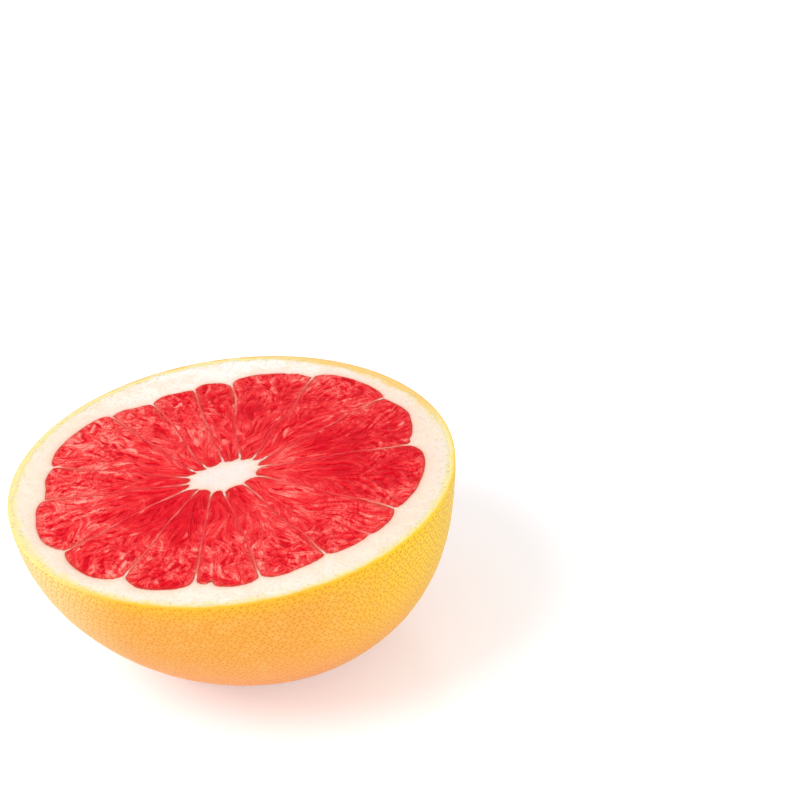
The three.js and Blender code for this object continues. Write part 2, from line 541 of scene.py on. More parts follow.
# %% Flesh material
def flesh_material():
    tree = Tree(bpy.data.materials.new("flesh"))
    along, across, chance = tree.attribute("sac")
    gap, lobe_edge, out = tree.attribute("flesh_tone")
    stood, seam, _ = tree.attribute("sac_cut")
    place = tree.place()
    side, back = tree.in_radii(place)
    streak, fibre = fibres(tree, along, across, chance)
    curl = tree.math("SINE", tree.times(tree.noise(place, 130.0, distortion=1.4), 34.0))
    curly = tree.ramp(out, 0.25, 0.75)
    # Random zones where the gaps between sacs show pale walls rather than painted shade.
    pale_wall_zones = tree.ramp(tree.noise(place, 420.0), 0.42, 0.58)
    tone = tree.total(
        -0.18,
        (tree.math("MINIMUM", chance, 0.93), 0.28),
        (tree.noise(place, 170.0, detail=3.0), 0.72),
        (tree.noise(place, 60.0), 0.38),
        # Pale stripes along the sacs are their walls; the dark stripes beside them are painted
        # shade, as if the walls stood up in relief.
        (tree.ramp(fibre, 0.35, 0.95), 0.22),
        (tree.ramp(fibre, -0.45, -0.95), -0.13),
        (tree.times(tree.ramp(curl, 0.75, 0.98), curly), 0.22),
        (tree.times(tree.ramp(curl, -0.75, -0.98), curly), -0.26),
        (tree.ramp(tree.total(0.0, (back, 0.25), (side, -1.0)), 0.4, 0.75), 0.13),
        *[(tree.near(place, *zone), deeper) for *zone, deeper in RIPE_ZONES],
        (tree.ramp(tree.math("ABSOLUTE", stood), 0.075, 0.02), 0.10),
        # Where two sacs meet: pale walls in some zones, painted shade in the gap elsewhere.
        (tree.times(gap, pale_wall_zones), 0.34),
        (gap, -0.16),
        # Painted shade in the hollows, where a sac stood low below its neighbours.
        (tree.ramp(stood, -0.24, -0.42), -0.12),
        # Painted highlight: a few sacs are paler in the middle, like a wet glint.
        (painted_highlight(tree, along, across, chance, streak), 0.34),
        (seam, 0.45),
    )
    colour = tree.shades(
        tone,
        (0.0, (208, 2, 26)), (0.22, (225, 4, 32)), (0.50, (240, 44, 50)),
        (0.75, (251, 86, 82)), (1.0, (255, 156, 144)),
    )
    # Painted shade: a darker rim where the flesh meets the pith, at the lobe and at the tip.
    ends = tree.math("MAXIMUM", tree.ramp(out, 0.60, 0.95), tree.ramp(out, 0.14, 0.04))
    outline = tree.times(tree.times(lobe_edge, ends), tree.total(0.7, (pale_wall_zones, 0.3)))
    colour = tree.mix(outline, colour, (196, 78, 60))
    grain = tree.noise(place, 2400.0)
    relief = tree.total(0.0, (streak, 0.8), (tree.times(curl, curly), 0.08), (grain, 0.1))
    tree.set(
        Base_Color=colour, Roughness=0.30, Specular_IOR_Level=0.06, IOR=1.36,
        Subsurface_Weight=0.25, Subsurface_Radius=(1.0, 0.18, 0.12), Subsurface_Scale=1.2 * MM,
        Coat_Weight=0.03, Coat_Roughness=0.10, Normal=tree.bump(relief, 0.10 * MM),
    )
    return tree.owner


FLESH = flesh_material()
print("flesh nodes:", len(FLESH.node_tree.nodes))

# %% [markdown]
# ## Pith material
#
# Pith is dry, soft and nearly white, a little warmer towards the front and the sides. It
# yellows in blotches just under the peel, is tinged pink where it meets the flesh, and its
# surface is a felt of short fibres. The walls between segments are so thin that the juice on
# both sides colours them, and they turn white only at their ends. The mesh keeps how near a
# point is to the flesh and to the peel, whether it is in a wall, how far out along it, and
# whether it is down in a pocket.

# %% Colours of the pith
def bare_pith(tree, place, felt, patch, side, back):
    """White pith with warm patches and short fibres, and the paler pink core."""
    core = tree.near(place, *(CORE_CENTRE / FRUIT_RADIUS).tolist(), 0.12, 0.24)
    return tree.tinted(
        (252, 249, 242),
        (tree.ramp(back, 0.2, -0.7), (250, 238, 223)),
        (tree.ramp(tree.math("ABSOLUTE", side), 0.15, 0.85), (246, 230, 212)),
        (tree.times(tree.ramp(patch, 0.46, 0.64), 0.6), (248, 226, 206)),
        (tree.times(tree.ramp(felt, 0.50, 0.66), 0.45), (240, 206, 180)),
        (tree.times(core, 0.8), (248, 228, 222)),
    )


def wall_colour(tree, place, from_core, patch):
    """The thin wall's colour on its way from the core out to the pith, with paler veins."""
    colour = tree.shades(
        tree.total(-0.06, (from_core, 1.0), (patch, 0.12)),
        (0.0, (250, 226, 216)), (0.03, (250, 118, 110)), (0.08, (240, 56, 62)),
        (0.35, (236, 42, 51)), (0.60, (240, 58, 62)), (0.84, (246, 82, 76)),
        (0.95, (250, 112, 98)), (1.0, (250, 222, 204)),
    )
    vein = tree.times(tree.ramp(tree.noise(place, 110.0), 0.50, 0.70), 0.35)
    return tree.mix(vein, colour, (255, 176, 158))


def far_right(tree, side, back):
    """1 at the back on the right, where skin and pith are more orange."""
    return tree.times(tree.ramp(back, 0.1, 0.5), tree.ramp(side, 0.0, 0.5))


# %% Pith material
def pith_material():
    tree = Tree(bpy.data.materials.new("pith"))
    near_flesh, near_peel, _ = tree.attribute("pith_tone")
    in_wall, from_core, pocket = tree.attribute("pith_wall")
    place = tree.place()
    side, back = tree.in_radii(place)
    felt = tree.noise(place, 900.0, detail=4.0, roughness=0.65)
    patch = tree.noise(place, 160.0, detail=3.0)
    blotch = tree.noise(place, 330.0)
    front = tree.ramp(back, 0.2, -0.7)
    blush = tree.times(tree.math("POWER", near_flesh, 0.4), tree.total(0.7, (front, 0.2)))
    halo = tree.times(tree.math("POWER", near_flesh, 2.0), 0.65)
    far = far_right(tree, side, back)
    yellow = tree.mix(far, (249, 230, 160), (252, 206, 124))
    edge = tree.total(-0.3, (near_peel, 1.0), (felt, 0.4), (patch, 0.5), (blotch, 0.7))
    edge = tree.total(edge, (far, 0.3), (tree.ramp(side, -0.7, -0.95), 0.16))
    specks = tree.ramp(tree.noise(place, 1500.0, detail=1.0), 0.60, 0.70)
    specks = tree.times(specks, tree.total(0.4, (near_peel, 0.4)))
    specks = tree.times(specks, tree.math("SUBTRACT", 1.0, in_wall))
    colour = tree.tinted(
        bare_pith(tree, place, felt, patch, side, back),
        (blush, (248, 206, 186)),
        (halo, (250, 160, 140)),
        (in_wall, wall_colour(tree, place, from_core, patch)),
        (tree.ramp(edge, 1.08, 1.75), yellow),
        (specks, (222, 206, 146)),
        (tree.ramp(pocket, 0.0, 0.1), (236, 52, 58)),
    )
    tree.set(
        Base_Color=colour, Roughness=0.72, Specular_IOR_Level=0.3,
        Subsurface_Weight=0.35, Subsurface_Radius=(1.0, 0.7, 0.45), Subsurface_Scale=1.5 * MM,
        Normal=tree.bump(tree.total(felt, (patch, 0.6)), 0.10 * MM),
    )
    return tree.owner


PITH = pith_material()
print("pith nodes:", len(PITH.node_tree.nodes))

# %% [markdown]
# ## Peel material
#
# The skin is orange in front, more golden on the right and paler on the left, waxy, and
# dotted with oil glands. The paler left is painted light from the large lamp on that side.
# Each gland is a dimple in the mesh, and an attribute says how strong it is, so that the
# darker dot always sits in its dimple. Towards the knife's edge the skin is more golden, the
# cut edge itself is paler between its glands, and the scar that the blossom left underneath
# is brown as bark.

# %% Colours of the peel
def skin_colour(tree, place, height, mottle, right, left):
    """Orange skin, yellower on the right, paler on the left with painted light, and with soft paler
    patches.
    """
    broad = tree.noise(place, 28.0)
    rise = tree.total(tree.ramp(height, 0.0, HEIGHT), (broad, 0.5))
    upper = tree.total(0.38, (tree.ramp(height, 0.25 * HEIGHT, 0.85 * HEIGHT), 0.55))
    patches = tree.times(tree.ramp(mottle, 0.45, 0.75), tree.total(0.3, (right, -0.25)))
    return tree.tinted(
        (252, 160, 90),
        (tree.ramp(rise, 0.2, 1.0), (250, 171, 66)),
        (tree.times(right, upper), (253, 214, 30)),
        # Painted light: paler on the left, where the large lamp falls.
        (tree.times(left, 0.85), (253, 236, 148)),
        (patches, (255, 200, 110)),
    )


def cut_edge(tree, gland, fine, mottle, golden, far):
    """The knife's edge through the skin, golden outside and fading inwards, with specks."""
    faded = tree.ramp(tree.total(0.0, (gland, 1.0), (fine, 0.5), (mottle, 0.5)), 0.2, 1.3)
    pale = tree.mix(far, (249, 230, 168), (251, 206, 124))
    specks = tree.times(tree.ramp(fine, 0.56, 0.66), 0.5)
    return tree.mix(specks, tree.mix(faded, golden, pale), (228, 190, 84))


# %% Peel material
def peel_material():
    tree = Tree(bpy.data.materials.new("peel"))
    gland, cut, scar = tree.attribute("peel_tone")
    place = tree.place()
    side, back = tree.in_radii(place)
    height = tree.split(place)[2]
    mottle = tree.noise(place, 320.0, detail=3.0)
    fine = tree.noise(place, 1500.0)
    right, left = tree.ramp(side, 0.2, 0.95), tree.ramp(side, -0.4, -0.95)
    far = far_right(tree, side, back)
    # The golden brim is paler on the left too: painted light.
    tints = (right, (253, 212, 0)), (left, (252, 232, 140)), (far, (250, 182, 76))
    golden = tree.tinted((249, 186, 38), *tints)
    brim = tree.total(height, (mottle, 1.6 * MM))
    brim = tree.times(tree.ramp(brim, HEIGHT - 5 * MM, HEIGHT + 0.6 * MM), 0.9)
    dot = tree.ramp(tree.total(gland, (fine, 0.3)), 0.16, 0.5)
    dot = tree.times(dot, tree.math("SUBTRACT", 0.64, cut, clamp=True))
    colour = tree.tinted(
        skin_colour(tree, place, height, mottle, right, left),
        (brim, golden),
        (dot, (220, 136, 26)),
        (cut, cut_edge(tree, gland, fine, mottle, golden, far)),
        (scar, tree.mix(tree.ramp(mottle, 0.4, 0.6), (122, 86, 44), (176, 134, 76))),
    )
    tree.set(
        Base_Color=colour, Roughness=0.42, Specular_IOR_Level=0.2,
        Subsurface_Weight=0.12, Subsurface_Radius=(1.0, 0.5, 0.2), Subsurface_Scale=1.2 * MM,
        Coat_Weight=0.03, Coat_Roughness=0.3,
        Normal=tree.bump(tree.total(mottle, (fine, 0.3)), 0.05 * MM),
    )
    return tree.owner


PEEL = peel_material()
print("peel nodes:", len(PEEL.node_tree.nodes))

# %% [markdown]
# ## Juice sacs
#
# Each sac is a slim drop that points at the core, turned a little outwards like a barb of a
# feather, and the drops overlap. At every point of a segment's surface the highest drop
# counts, and the knife shaves off what stands above the cut. Where the second highest is
# nearly as high, two sacs meet.

# %% Scatter the sacs
SAC_PITCH_ALONG = 3.7 * MM
SAC_PITCH_ACROSS = 1.05 * MM
SAC_LENGTH, SAC_WIDTH = (5.0, 11.5), (1.0, 2.0)
SAC_BASE, SAC_TILT, SAC_BEND = (-0.15, 0.16), 0.08, 0.9
FEATHER = math.radians(20)
SWIRL = math.radians(17)
# A few sacs carry a painted highlight: their share, their random number, their size and how high
# they stand.
HIGHLIGHT_SHARE, HIGHLIGHT_CHANCE = 0.035, 0.97
HIGHLIGHT_SIZE, HIGHLIGHT_BASE = (0.35, 0.75), 0.12


def part_way(points, column):
    """A place on a row of points, where the column may be a fraction."""
    low = int(column)
    high = min(len(points) - 1, low + 1)
    return points[low] + (points[high] - points[low]) * (column - low)


def one_sac(start, end, share, out, rng):
    """Place, direction, half length, half width, height, tilt, bend and random number."""
    place = start + (end - start) * out
    swirl, curl = waves(place[None], 15 * MM, 21)[0], waves(place[None], 11 * MM, 22)[0]
    looseness = 0.5 + out
    heading = math.atan2(*(end - start)[::-1]) + FEATHER * (2 * share - 1)
    heading += (SWIRL * swirl + rng.normal(0, SWIRL / 4)) * looseness
    # A few sacs are picked to carry a painted highlight.
    highlight_sac = rng.random() < HIGHLIGHT_SHARE
    size = rng.uniform(*HIGHLIGHT_SIZE) if highlight_sac else 1 - 0.3 * eased(out, 0.6, 1.0)
    return (
        *place,
        math.cos(heading),
        math.sin(heading),
        rng.uniform(*SAC_LENGTH) * MM * size / 2,
        rng.uniform(*SAC_WIDTH) * MM * (1.7 - 0.7 * min(1, size * 1.15)) / 2,
        HIGHLIGHT_BASE * MM if highlight_sac else rng.uniform(*SAC_BASE) * MM,
        rng.normal(0, SAC_TILT) * MM,
        SAC_BEND * curl * looseness,
        HIGHLIGHT_CHANCE if highlight_sac else rng.uniform(0, 0.93),
    )


def scatter_sacs(tip, lobe, rng):
    """Covers a segment with sacs, row after row from tip to lobe."""
    columns = len(tip) - 1
    length = lengths(lobe[columns // 2] - tip[columns // 2])
    starts, ends = tip[[0, -1]], lobe[[0, -1]]
    sacs = []
    for row in np.arange(0.0, length + SAC_PITCH_ALONG, SAC_PITCH_ALONG):
        near, far = starts + (ends - starts) * (row / length)
        count = int(lengths(far - near) / SAC_PITCH_ACROSS) + 2
        for step in range(count):
            share = (step + rng.uniform(-0.3, 0.3)) / (count - 1)
            out = row / length + rng.uniform(-0.5, 0.5) * SAC_PITCH_ALONG / length
            column = min(columns, max(0, share * columns))
            sacs.append(one_sac(part_way(tip, column), part_way(lobe, column), share, out, rng))
    sacs = np.array(sacs)
    sacs[:, :2] = wandering(sacs[:, :2])
    return sacs


# %% Relief of a segment
SAC_BULGE = 0.26 * MM
SAC_FLOOR = -0.38 * MM
GAP_WIDTH = 0.07 * MM
KNIFE_SOFTNESS = 0.06 * MM


def sac_relief(points, sacs):
    """Height of the flesh at each point, and what the material needs to know of its sac."""
    top = np.full(len(points), SAC_FLOOR)
    second = np.full(len(points), SAC_FLOOR)
    about = np.zeros((len(points), 3))
    for x, y, cos, sin, half_length, half_width, base, tilt, bend, chance in sacs:
        offset = points - (x, y)
        near = np.flatnonzero(np.abs(offset).max(1) < half_length)
        if not len(near):
            continue
        offset = offset[near]
        along = (offset[:, 0] * cos + offset[:, 1] * sin) / half_length
        girth = np.sqrt(np.clip(1 - along**2, 1e-4, 1)) * (0.8 + 0.25 * along) * half_width
        across = (offset[:, 1] * cos - offset[:, 0] * sin + bend * half_width * along**2) / girth
        inside = (np.abs(along) < 1) & (np.abs(across) < 1)
        near, along, across = near[inside], along[inside], across[inside]
        height = base + tilt * along + SAC_BULGE * (np.sqrt(1 - across**2) - 1)
        higher = height > top[near]
        second[near] = np.maximum(second[near], np.minimum(height, top[near]))
        winners = near[higher]
        top[winners] = height[higher]
        about[winners] = np.stack([along[higher], across[higher], np.full(higher.sum(), chance)], -1)
    gap = 1 - eased(top - second, 0.0, GAP_WIDTH)
    shaved = -KNIFE_SOFTNESS * np.log1p(np.exp(-top / KNIFE_SOFTNESS))
    return shaved, about, gap, top


def outline_distance(points, outline):
    """How far each point lies from a closed outline."""
    best = np.full(len(points), 1e9)
    for start, end in zip(outline, np.roll(outline, -1, axis=0)):
        run = end - start
        share = np.clip(((points - start) @ run) / (run @ run), 0, 1)
        best = np.minimum(best, lengths(points - start - share[:, None] * run))
    return best


# %% [markdown]
# ## A segment of flesh
#
# The top is a grid that runs from the tip to the lobe and from wall to wall. Its vertices
# crowd towards the edges, where the flesh rolls down into its pocket. The sides go down in
# rings that narrow as the fruit does, and the last ring is filled.

# %% Build the segments
FLESH_CELL = 0.235 * MM
FLESH_TOP = 0.10 * MM
EDGE_DROP = 0.13 * MM
EDGE_WIDTH = 0.22 * MM
EDGE_EVEN, EVEN_DROP = 0.75 * MM, 0.08 * MM
# How wide the painted shade along the flesh's edge is.
EDGE_SHADE_WIDTH = 0.38 * MM
CROWDING = 0.75
FLESH_INSET = MEMBRANE / 2 + 0.012 * MM


def crowded(share):
    """Pulls evenly spaced shares towards both ends."""
    return share - CROWDING * np.sin(2 * np.pi * share) / (2 * np.pi)


def softened(values, row, column):
    """Averages each vertex of a grid with its eight neighbours."""
    grid = np.zeros((row.max() + 1, column.max() + 1))
    grid[row, column] = values
    for _ in range(2):
        wide = np.pad(grid, ((1, 1), (0, 0)), mode="edge")
        grid = (grid / 2 + (wide[:-2] + wide[2:]) / 4).T
    return grid[row, column]


def segment_points(tip, lobe, out, column):
    """Points of the cut face from how far out they lie and which column they are in."""
    return tip[column] + (lobe[column] - tip[column]) * out[:, None]


def sink_sides(bm, chart, index, tip, lobe):
    """Lets the edge down into the pocket. The chart layer says where each vertex belongs."""
    radius = WALLS[index]["lobe"] * FRUIT_RADIUS
    tip_radius = lengths(tip).mean()
    for depth, vertices in rings_down(bm, open_edges(bm), POCKET_LEVELS):
        out, column, _ = np.array([vertex[chart] for vertex in vertices]).T
        out = out * narrowed(depth, radius, tip_radius)
        points = segment_points(tip, lobe, out, np.round(column).astype(int))
        put(vertices, at_height(wandering(points), HEIGHT - depth))


def build_segment(index):
    rng = np.random.default_rng(100 + index)
    columns = max(30, round(segment_width(index) / FLESH_CELL))
    tip, lobe = segment_ends(index, columns, FLESH_INSET)
    length = lengths(lobe - tip).max()
    rows = round(length / FLESH_CELL)
    bm = bmesh.new()
    chart = bm.verts.layers.float_vector.new("chart")
    bmesh.ops.create_grid(bm, x_segments=rows, y_segments=columns, size=0.5)
    along, across = grid_shares(bm)
    out = crowded(along)
    column = np.round(across * columns).astype(int)
    flat = wandering(segment_points(tip, lobe, out, column))
    relief, about, gap, stood = sac_relief(flat, scatter_sacs(tip, lobe, rng))
    row = np.round(along * rows).astype(int)
    relief = 0.3 * relief + 0.7 * softened(relief, row, column)
    gap = np.minimum(1, 0.5 * gap + 0.8 * softened(gap, row, column))
    edge = outline_distance(flat, wandering(segment_outline(index, columns, FLESH_INSET)))
    even = np.exp(-((edge / EDGE_EVEN) ** 2))
    roll = np.exp(-((edge / EDGE_WIDTH) ** 1.5))
    relief = relief * (1 - even) - EVEN_DROP * even
    height = HEIGHT - FLESH_TOP + relief - EDGE_DROP * roll
    put(bm.verts, at_height(flat, height))
    paint(bm.verts, chart, out, column)
    sink_sides(bm, chart, index, tip, lobe)
    piece = finish_piece(f"flesh_{index + 1:02d}", bm, FLESH)
    tone = np.stack([gap, np.exp(-edge / EDGE_SHADE_WIDTH), out], -1)
    cut = np.stack([stood / MM, notch_seam(index, out, across), 0 * stood], -1)
    store(piece, "sac", about, [0, 0, 0.5])
    store(piece, "flesh_tone", tone, [0.3, 0.6, 0.5])
    store(piece, "sac_cut", cut, [-1, 0, 0])
    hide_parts(f"segment_{index + 1:02d}")
    return piece


def notch_seam(index, out, across):
    """A pale seam that runs on inward from a notch, 1 on its line and 0 off it."""
    if index not in NOTCHES:
        return 0 * out
    place, depth, width = NOTCHES[index]
    share = (1 - np.cos(np.pi * across)) / 2
    line = np.exp(-(((share - place) / (0.35 * width)) ** 2))
    return line * eased(out, 0.97 - 9 * depth, 0.97 - 3 * depth) * min(1, 30 * depth)


flesh = [build_segment(index) for index in range(len(WALLS))]
print("flesh triangles:", sum(triangles(piece) for piece in flesh))

# %% [markdown]
# ## Where peel meets pith
#
# The line between skin and pith isn't a clean circle: each oil gland pushes a small bump into
# the white. Peel and pith both use this one curve, so they meet along it.

# %% The serrated line
GLAND_BUMPS, BROAD_BUMPS = 0.20 * MM, 0.22 * MM


def skin_line(degrees):
    """Radius of the line between peel and pith at each bearing."""
    ring = polar(FRUIT_RADIUS, degrees)
    bumps = GLAND_BUMPS * waves(ring, 2.1 * MM, 31) + BROAD_BUMPS * waves(ring, 8 * MM, 32)
    return FRUIT_RADIUS - PEEL_THICKNESS + bumps


line = skin_line(np.arange(0.0, 360.0, 1.0))
print("skin thickness in mm:", [round((FRUIT_RADIUS - r) / MM, 2) for r in (line.max(), line.min())])

# %% [markdown]
# ## The pith
#
# Rind, walls and core are one white body. For each segment a grid is laid from the middle of
# the core, along the pocket and out to the peel. The pocket's faces are deleted, and the
# hole's edge is extruded down as its wall. The grids are welded along the middles of the
# walls, and the outer edge goes down as the bowl that lies inside the peel.

# %% Build the pith
PITH_COLUMNS = 46
CORE_ROWS, POCKET_ROWS, RING_ROWS = 16, 44, 26
CORE_CROWDING, RING_CROWDING = 1.4, 1.3
TUCK = 0.12 * MM
WELD = 0.004 * MM
BLUSH_WIDTH = 0.7 * MM
YELLOW_FROM, YELLOW_WIDTH = FRUIT_RADIUS - 4.6 * MM, 3.2 * MM
POCKET_SLACK = POCKET_DROP = 0.1 * MM
BOWL_SLACK = 0.4 * MM
BOWL_LEVELS = MM * np.array([0.6, 4, 10, 18, 26, 34, 41, 46, 48.6])


def pith_keys(index):
    """The ends of each column: at the tip, at the lobe and at the peel, walls included."""
    tip, lobe = segment_ends(index, PITH_COLUMNS, MEMBRANE / 2)
    walls = np.array([0.0, 1.0])
    inner = tip_curve(index, walls)
    outer = polar(between(index, "reach", walls) * FRUIT_RADIUS, between(index, "bearing", walls))
    tip = np.concatenate([inner[:1], tip, inner[1:]])
    lobe = np.concatenate([outer[:1], lobe, outer[1:]])
    bearing = np.degrees(np.unwrap(np.arctan2(lobe[:, 1], lobe[:, 0])))
    bearing = (bearing + np.linspace(bearing[0], bearing[-1], len(bearing))) / 2
    return tip, lobe, polar(skin_line(bearing) + TUCK, bearing)


def pith_chart(bm, tip, lobe, skin):
    """Lays one segment's grid. Returns the row, the column and the place of each vertex."""
    total = CORE_ROWS + POCKET_ROWS + RING_ROWS
    bmesh.ops.create_grid(bm, x_segments=total, y_segments=PITH_COLUMNS + 2, size=0.5)
    along, across = grid_shares(bm)
    row = np.round(along * total)
    column = np.round(across * (PITH_COLUMNS + 2)).astype(int)
    core = np.clip(row / CORE_ROWS, 0, 1)[:, None]
    pocket = np.clip((row - CORE_ROWS) / POCKET_ROWS, 0, 1)[:, None]
    ring = np.clip((row - CORE_ROWS - POCKET_ROWS) / RING_ROWS, 0, 1)[:, None]
    flat = CORE_CENTRE + (tip[column] - CORE_CENTRE) * (1 - (1 - core) ** CORE_CROWDING)
    flat = flat + (lobe[column] - tip[column]) * pocket
    flat = flat + (skin[column] - lobe[column]) * ring**RING_CROWDING
    return row, column, wandering(flat)


def pith_height(flat, near_flesh, wall):
    """The white surface is a little rough, and dips at the flesh and at the peel."""
    felt = 0.035 * waves(flat, 1.3 * MM, 41) + 0.04 * waves(flat, 4.5 * MM, 42)
    outside = lengths(flat)
    fade = 1 - eased(outside, FRUIT_RADIUS - 2.6 * MM, FRUIT_RADIUS - 1.6 * MM)
    line = skin_line(np.degrees(np.arctan2(flat[:, 1], flat[:, 0])))
    tuck = eased(outside - line, -0.02 * MM, TUCK)
    low = 0.14 + (0.03 - felt) * fade + 0.04 * wall + 0.04 * tuck
    low = low + 0.14 * near_flesh * (1 - wall)
    return HEIGHT - np.maximum(low, 0.01) * MM


def shore(index):
    """The edge of one segment's pocket."""
    return wandering(segment_outline(index, PITH_COLUMNS, MEMBRANE / 2))


SHORES = [shore(index) for index in range(len(WALLS))]


def build_chart(index):
    """One segment's share of the pith, with the top of its pocket cut out."""
    bm = bmesh.new()
    tone = bm.verts.layers.float_vector.new("pith_tone")
    wall_tone = bm.verts.layers.float_vector.new("pith_wall")
    tip, lobe, skin = pith_keys(index)
    row, column, flat = pith_chart(bm, tip, lobe, skin)
    distance = np.min([outline_distance(flat, outline) for outline in SHORES], axis=0)
    from_core = (row - CORE_ROWS) / POCKET_ROWS
    wall = 1.0 * ((from_core > 0) & (from_core < 1))
    near_flesh = np.exp(-distance / BLUSH_WIDTH)
    near_peel = np.clip((lengths(flat) - YELLOW_FROM) / YELLOW_WIDTH, 0, 1)
    put(bm.verts, at_height(flat, pith_height(flat, near_flesh, wall)))
    paint(bm.verts, tone, near_flesh, near_peel)
    paint(bm.verts, wall_tone, wall, np.clip(from_core, 0, 1))
    inner = (row >= CORE_ROWS) & (row <= CORE_ROWS + POCKET_ROWS)
    inner &= (column >= 1) & (column <= PITH_COLUMNS + 1)
    pocket_faces = [face for face in bm.faces if all(inner[v.index] for v in face.verts)]
    shore_edges = {edge for face in pocket_faces for edge in face.edges}
    bmesh.ops.delete(bm, geom=pocket_faces, context="FACES")
    ring = [edge for edge in shore_edges if edge.is_valid and edge.is_boundary]
    return bm, ring, tip[1:-1]


# %% Sink the pockets
def dig_pocket(bm, ring, index, tip):
    """Extrudes the pocket's edge down to its floor and fills it."""
    chart = bm.verts.layers.float_vector.new("chart")
    wall_tone = bm.verts.layers.float_vector["pith_wall"]
    radius = WALLS[index]["lobe"] * FRUIT_RADIUS + POCKET_SLACK
    tip_radius = lengths(tip).mean()
    for vertex in {v for edge in ring for v in edge.verts}:
        vertex[chart] = vertex.co
    for depth, vertices in rings_down(bm, ring, POCKET_LEVELS):
        flat = np.array([vertex[chart][:2] for vertex in vertices]) - CORE_CENTRE
        out = narrowed(depth, radius, tip_radius)
        reach = lengths(flat)[:, None]
        inner = np.minimum(reach, tip_radius)
        flat = CORE_CENTRE + flat / reach * (inner + (reach - inner) * out)
        put(vertices, at_height(flat, HEIGHT - depth - POCKET_DROP))
        for vertex in vertices:
            vertex[wall_tone] = (0, 0, 1)


def build_pith():
    whole = bmesh.new()
    for index in range(len(WALLS)):
        bm, ring, tip = build_chart(index)
        dig_pocket(bm, ring, index, tip)
        part = bpy.data.meshes.new("chart")
        bm.to_mesh(part)
        bm.free()
        whole.from_mesh(part)
        bpy.data.meshes.remove(part)
    bmesh.ops.remove_doubles(whole, verts=whole.verts[:], dist=WELD)
    hang_bowl(whole, open_edges(whole), BOWL_LEVELS, BOWL_SLACK, 0)
    piece = finish_piece("pith_body", whole, PITH)
    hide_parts("pith")
    return piece


pith = build_pith()
print("pith triangles:", triangles(pith))

# %% [markdown]
# ## The peel
#
# The vertices of a ball of near-equal triangles lie about as far apart as a grapefruit's oil
# glands, so each vertex is one gland. They are shaken a little out of line, the ball is cut in
# half, and every edge is split once: the old vertices are pressed in as dimples and the new
# ones stay proud.

# %% Build the peel
GLAND_LEVEL = 7
GLAND_SPACING = 1.05 * MM / FRUIT_RADIUS
GLAND_SHAKE = 0.42
FAINT, STRONG = (0.05, 0.3), (0.65, 1.0)
GLAND_DEPTH = 0.085 * MM
RIM_BEVEL = 0.14 * MM
SPOT_SOFTNESS = 0.12 * MM
SCAR_RADIUS = 2.4 * MM
SCAR_DEPTH = 0.5 * MM


def shaken_ball(rng):
    """The lower half of a ball of radius 1. A layer says which of its vertices are glands."""
    bm = bmesh.new()
    tone = bm.verts.layers.float_vector.new("peel_tone")
    bmesh.ops.create_icosphere(bm, subdivisions=GLAND_LEVEL, radius=1)
    place = np.array([vertex.co for vertex in bm.verts])
    place += rng.uniform(-1, 1, place.shape) * GLAND_SPACING * GLAND_SHAKE
    place /= lengths(place)[:, None]
    put(bm.verts, place)
    geom = bm.verts[:] + bm.edges[:] + bm.faces[:]
    bmesh.ops.bisect_plane(bm, geom=geom, plane_co=(0, 0, 0), plane_no=(0, 0, 1), clear_outer=True)
    faint = set()
    for vertex in bm.verts:
        if not any(edge.other_vert(vertex) in faint for edge in vertex.link_edges):
            faint.add(vertex)
        strength = rng.uniform(*(FAINT if vertex in faint else STRONG))
        vertex[tone] = (strength if vertex.co.z < -0.35 * GLAND_SPACING else 0, 0, 0)
    made = bmesh.ops.subdivide_edges(bm, edges=bm.edges[:], cuts=1, use_grid_fill=True)
    for item in made["geom_inner"]:
        if isinstance(item, bmesh.types.BMVert):
            item[tone] = (0, 0, 0)
    return bm, tone


def skin_place(unit):
    """Points of the unit half ball put on the fruit's skin, flattened where it rests."""
    height = HEIGHT - RIM_BEVEL + unit[:, 2] * (POLE_DEPTH - RIM_BEVEL)
    height = SPOT_SOFTNESS * np.logaddexp(0, height / SPOT_SOFTNESS)
    ball = unit * FRUIT_RADIUS
    lumps = 0.16 * waves(ball, 26 * MM, 51) + 0.05 * waves(ball, 6 * MM, 52)
    below = eased(-unit[:, 2], 0.0, 0.2)
    radius = FRUIT_RADIUS - (0.02 + (0.4 + np.clip(lumps, -0.4, 0.4)) * 0.5 * below) * MM
    points = unit[:, :2] * radius[:, None]
    return at_height(points, height)


def build_peel():
    rng = np.random.default_rng(7)
    bm, tone = shaken_ball(rng)
    unit = np.array([vertex.co for vertex in bm.verts])
    on_rim = np.abs(unit[:, 2]) < 1e-6
    unit /= lengths(unit)[:, None]
    unit[on_rim, 2] = 0
    from_pole = lengths(unit[:, :2]) * FRUIT_RADIUS / SCAR_RADIUS
    from_pole += 0.15 * waves(unit * FRUIT_RADIUS, 2.5 * MM, 53)
    scar = (1 - eased(from_pole, 0.7, 1.3)) * (unit[:, 2] < 0)
    gland = np.array([vertex[tone][0] for vertex in bm.verts]) * (1 - scar)
    paint(bm.verts, tone, gland, 0 * gland, scar)
    pressed = skin_place(unit)
    pressed[:, 2] += scar * SCAR_DEPTH
    outward = unit / np.array([1, 1, POLE_DEPTH / FRUIT_RADIUS])
    outward /= lengths(outward)[:, None]
    put(bm.verts, pressed - outward * (gland * GLAND_DEPTH)[:, None])
    add_rim(bm, tone)
    piece = finish_piece("peel_skin", bm, PEEL)
    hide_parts("peel")
    return piece


# %% The cut edge and the inside of the peel
RIM_STEPS = [0.0, 0.33, 0.67, 1.0]
INSIDE_LEVELS = MM * np.array([1, 12, 28, 42, 48.6])
INSIDE_DROP = 0.1 * MM


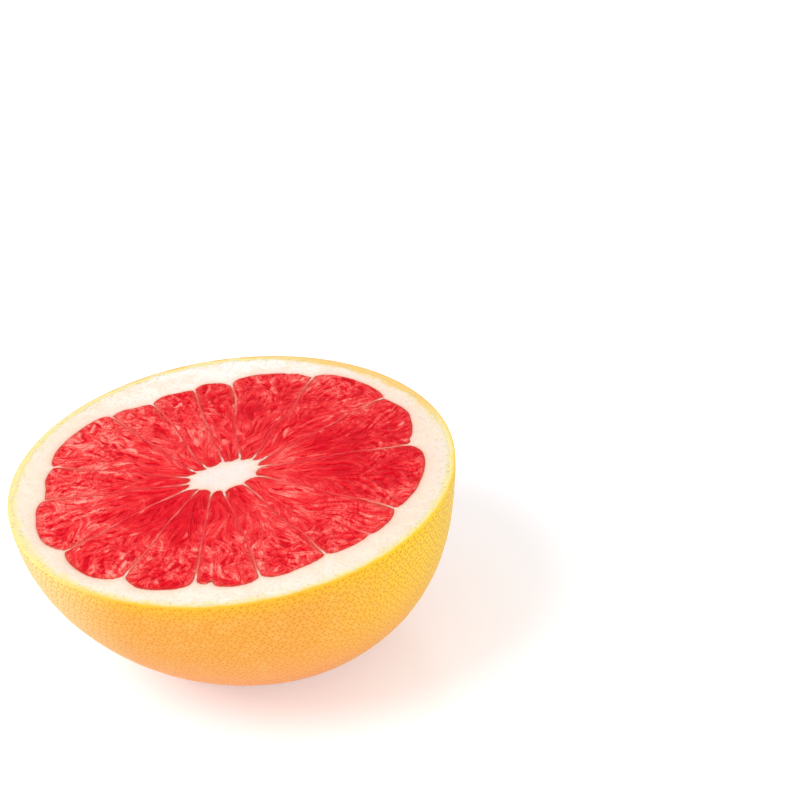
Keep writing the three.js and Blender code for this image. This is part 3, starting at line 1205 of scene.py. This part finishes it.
def add_rim(bm, tone):
    """Turns the open edge in over the cut face, then down the inside as a thin shell."""
    ring = open_edges(bm)
    outer = FRUIT_RADIUS - RIM_BEVEL
    for step in RIM_STEPS:
        ring, vertices = extrude_ring(bm, ring)
        flat = plan(vertices)
        bearing = np.degrees(np.arctan2(flat[:, 1], flat[:, 0]))
        radius = outer + (skin_line(bearing) - outer) * step
        put(vertices, at_height(polar(radius, bearing), HEIGHT - (0.02 + 0.09 * step) * MM))
        for vertex in vertices:
            vertex[tone] = (step, 1, 0)
    hang_bowl(bm, ring, INSIDE_LEVELS, 0, INSIDE_DROP)


peel = build_peel()
print("peel triangles:", triangles(peel))

# %% [markdown]
# ## The floor
#
# A plain pale floor carries the soft shadow. It isn't part of the fruit. Seen by the camera
# or mirrored in the skin it also glows a little, which lifts it to white without putting more
# light on the fruit.

# %% Floor
FLOOR_GLOW = 0.32


def floor_material():
    tree = Tree(bpy.data.materials.new("floor"))
    tree.set(Base_Color=(240, 240, 245), Roughness=0.9, Specular_IOR_Level=0.0)
    path = tree.nodes.new("ShaderNodeLightPath")
    seen = tree.math("MAXIMUM", path.outputs["Is Camera Ray"], path.outputs["Is Glossy Ray"])
    tree.set(Emission_Color=(255, 255, 255), Emission_Strength=tree.times(seen, FLOOR_GLOW))
    return tree.owner


def make_floor():
    bm = bmesh.new()
    bmesh.ops.create_grid(bm, x_segments=1, y_segments=1, size=3)
    floor = object_from("floor", bm, floor_material())
    return floor


make_floor()

# %% [markdown]
# ## Light
#
# The light is that of a white studio: an even sky, one large soft lamp high up in front on
# the left, two weaker ones in front and on the right, and a small one at the back for the
# shine of the wet flesh. The camera sees the sky as white.

# %% Sky and lamps
SKY = 0.55


def make_sky():
    tree = Tree(bpy.data.worlds.new("studio"), "Background")
    seen = tree.add("LightPath", {}, "Is Camera Ray")
    strength = tree.add("MapRange", {"Value": seen, "To Min": SKY, "To Max": 1.0})
    tree.set(Color=(255, 255, 255), Strength=strength)
    bpy.context.scene.world = tree.owner


def make_lamp(name, place, size, power):
    data = bpy.data.lights.new(name, "AREA")
    data.shape = "DISK"
    data.size = size
    data.energy = power
    lamp = bpy.data.objects.new(name, data)
    lamp.location = place
    lamp.rotation_euler = (Vector((0, 0, 0.03)) - Vector(place)).to_track_quat("-Z", "Y").to_euler()
    bpy.context.collection.objects.link(lamp)
    return lamp


make_sky()
make_lamp("key", (-0.55, -0.30, 0.85), 0.6, 6.0)
make_lamp("fill", (0.3, -1.0, 0.35), 0.8, 3.1)
make_lamp("side", (0.95, -0.45, 0.4), 0.6, 1.6)
make_lamp("glint", (0.15, 0.9, 0.7), 0.2, 1.0)

# %% [markdown]
# ## Look and finish
#
# The view transform is the plain one, so colours render as they are written.

# %% Finish
bpy.context.scene.view_settings.view_transform = "Standard"
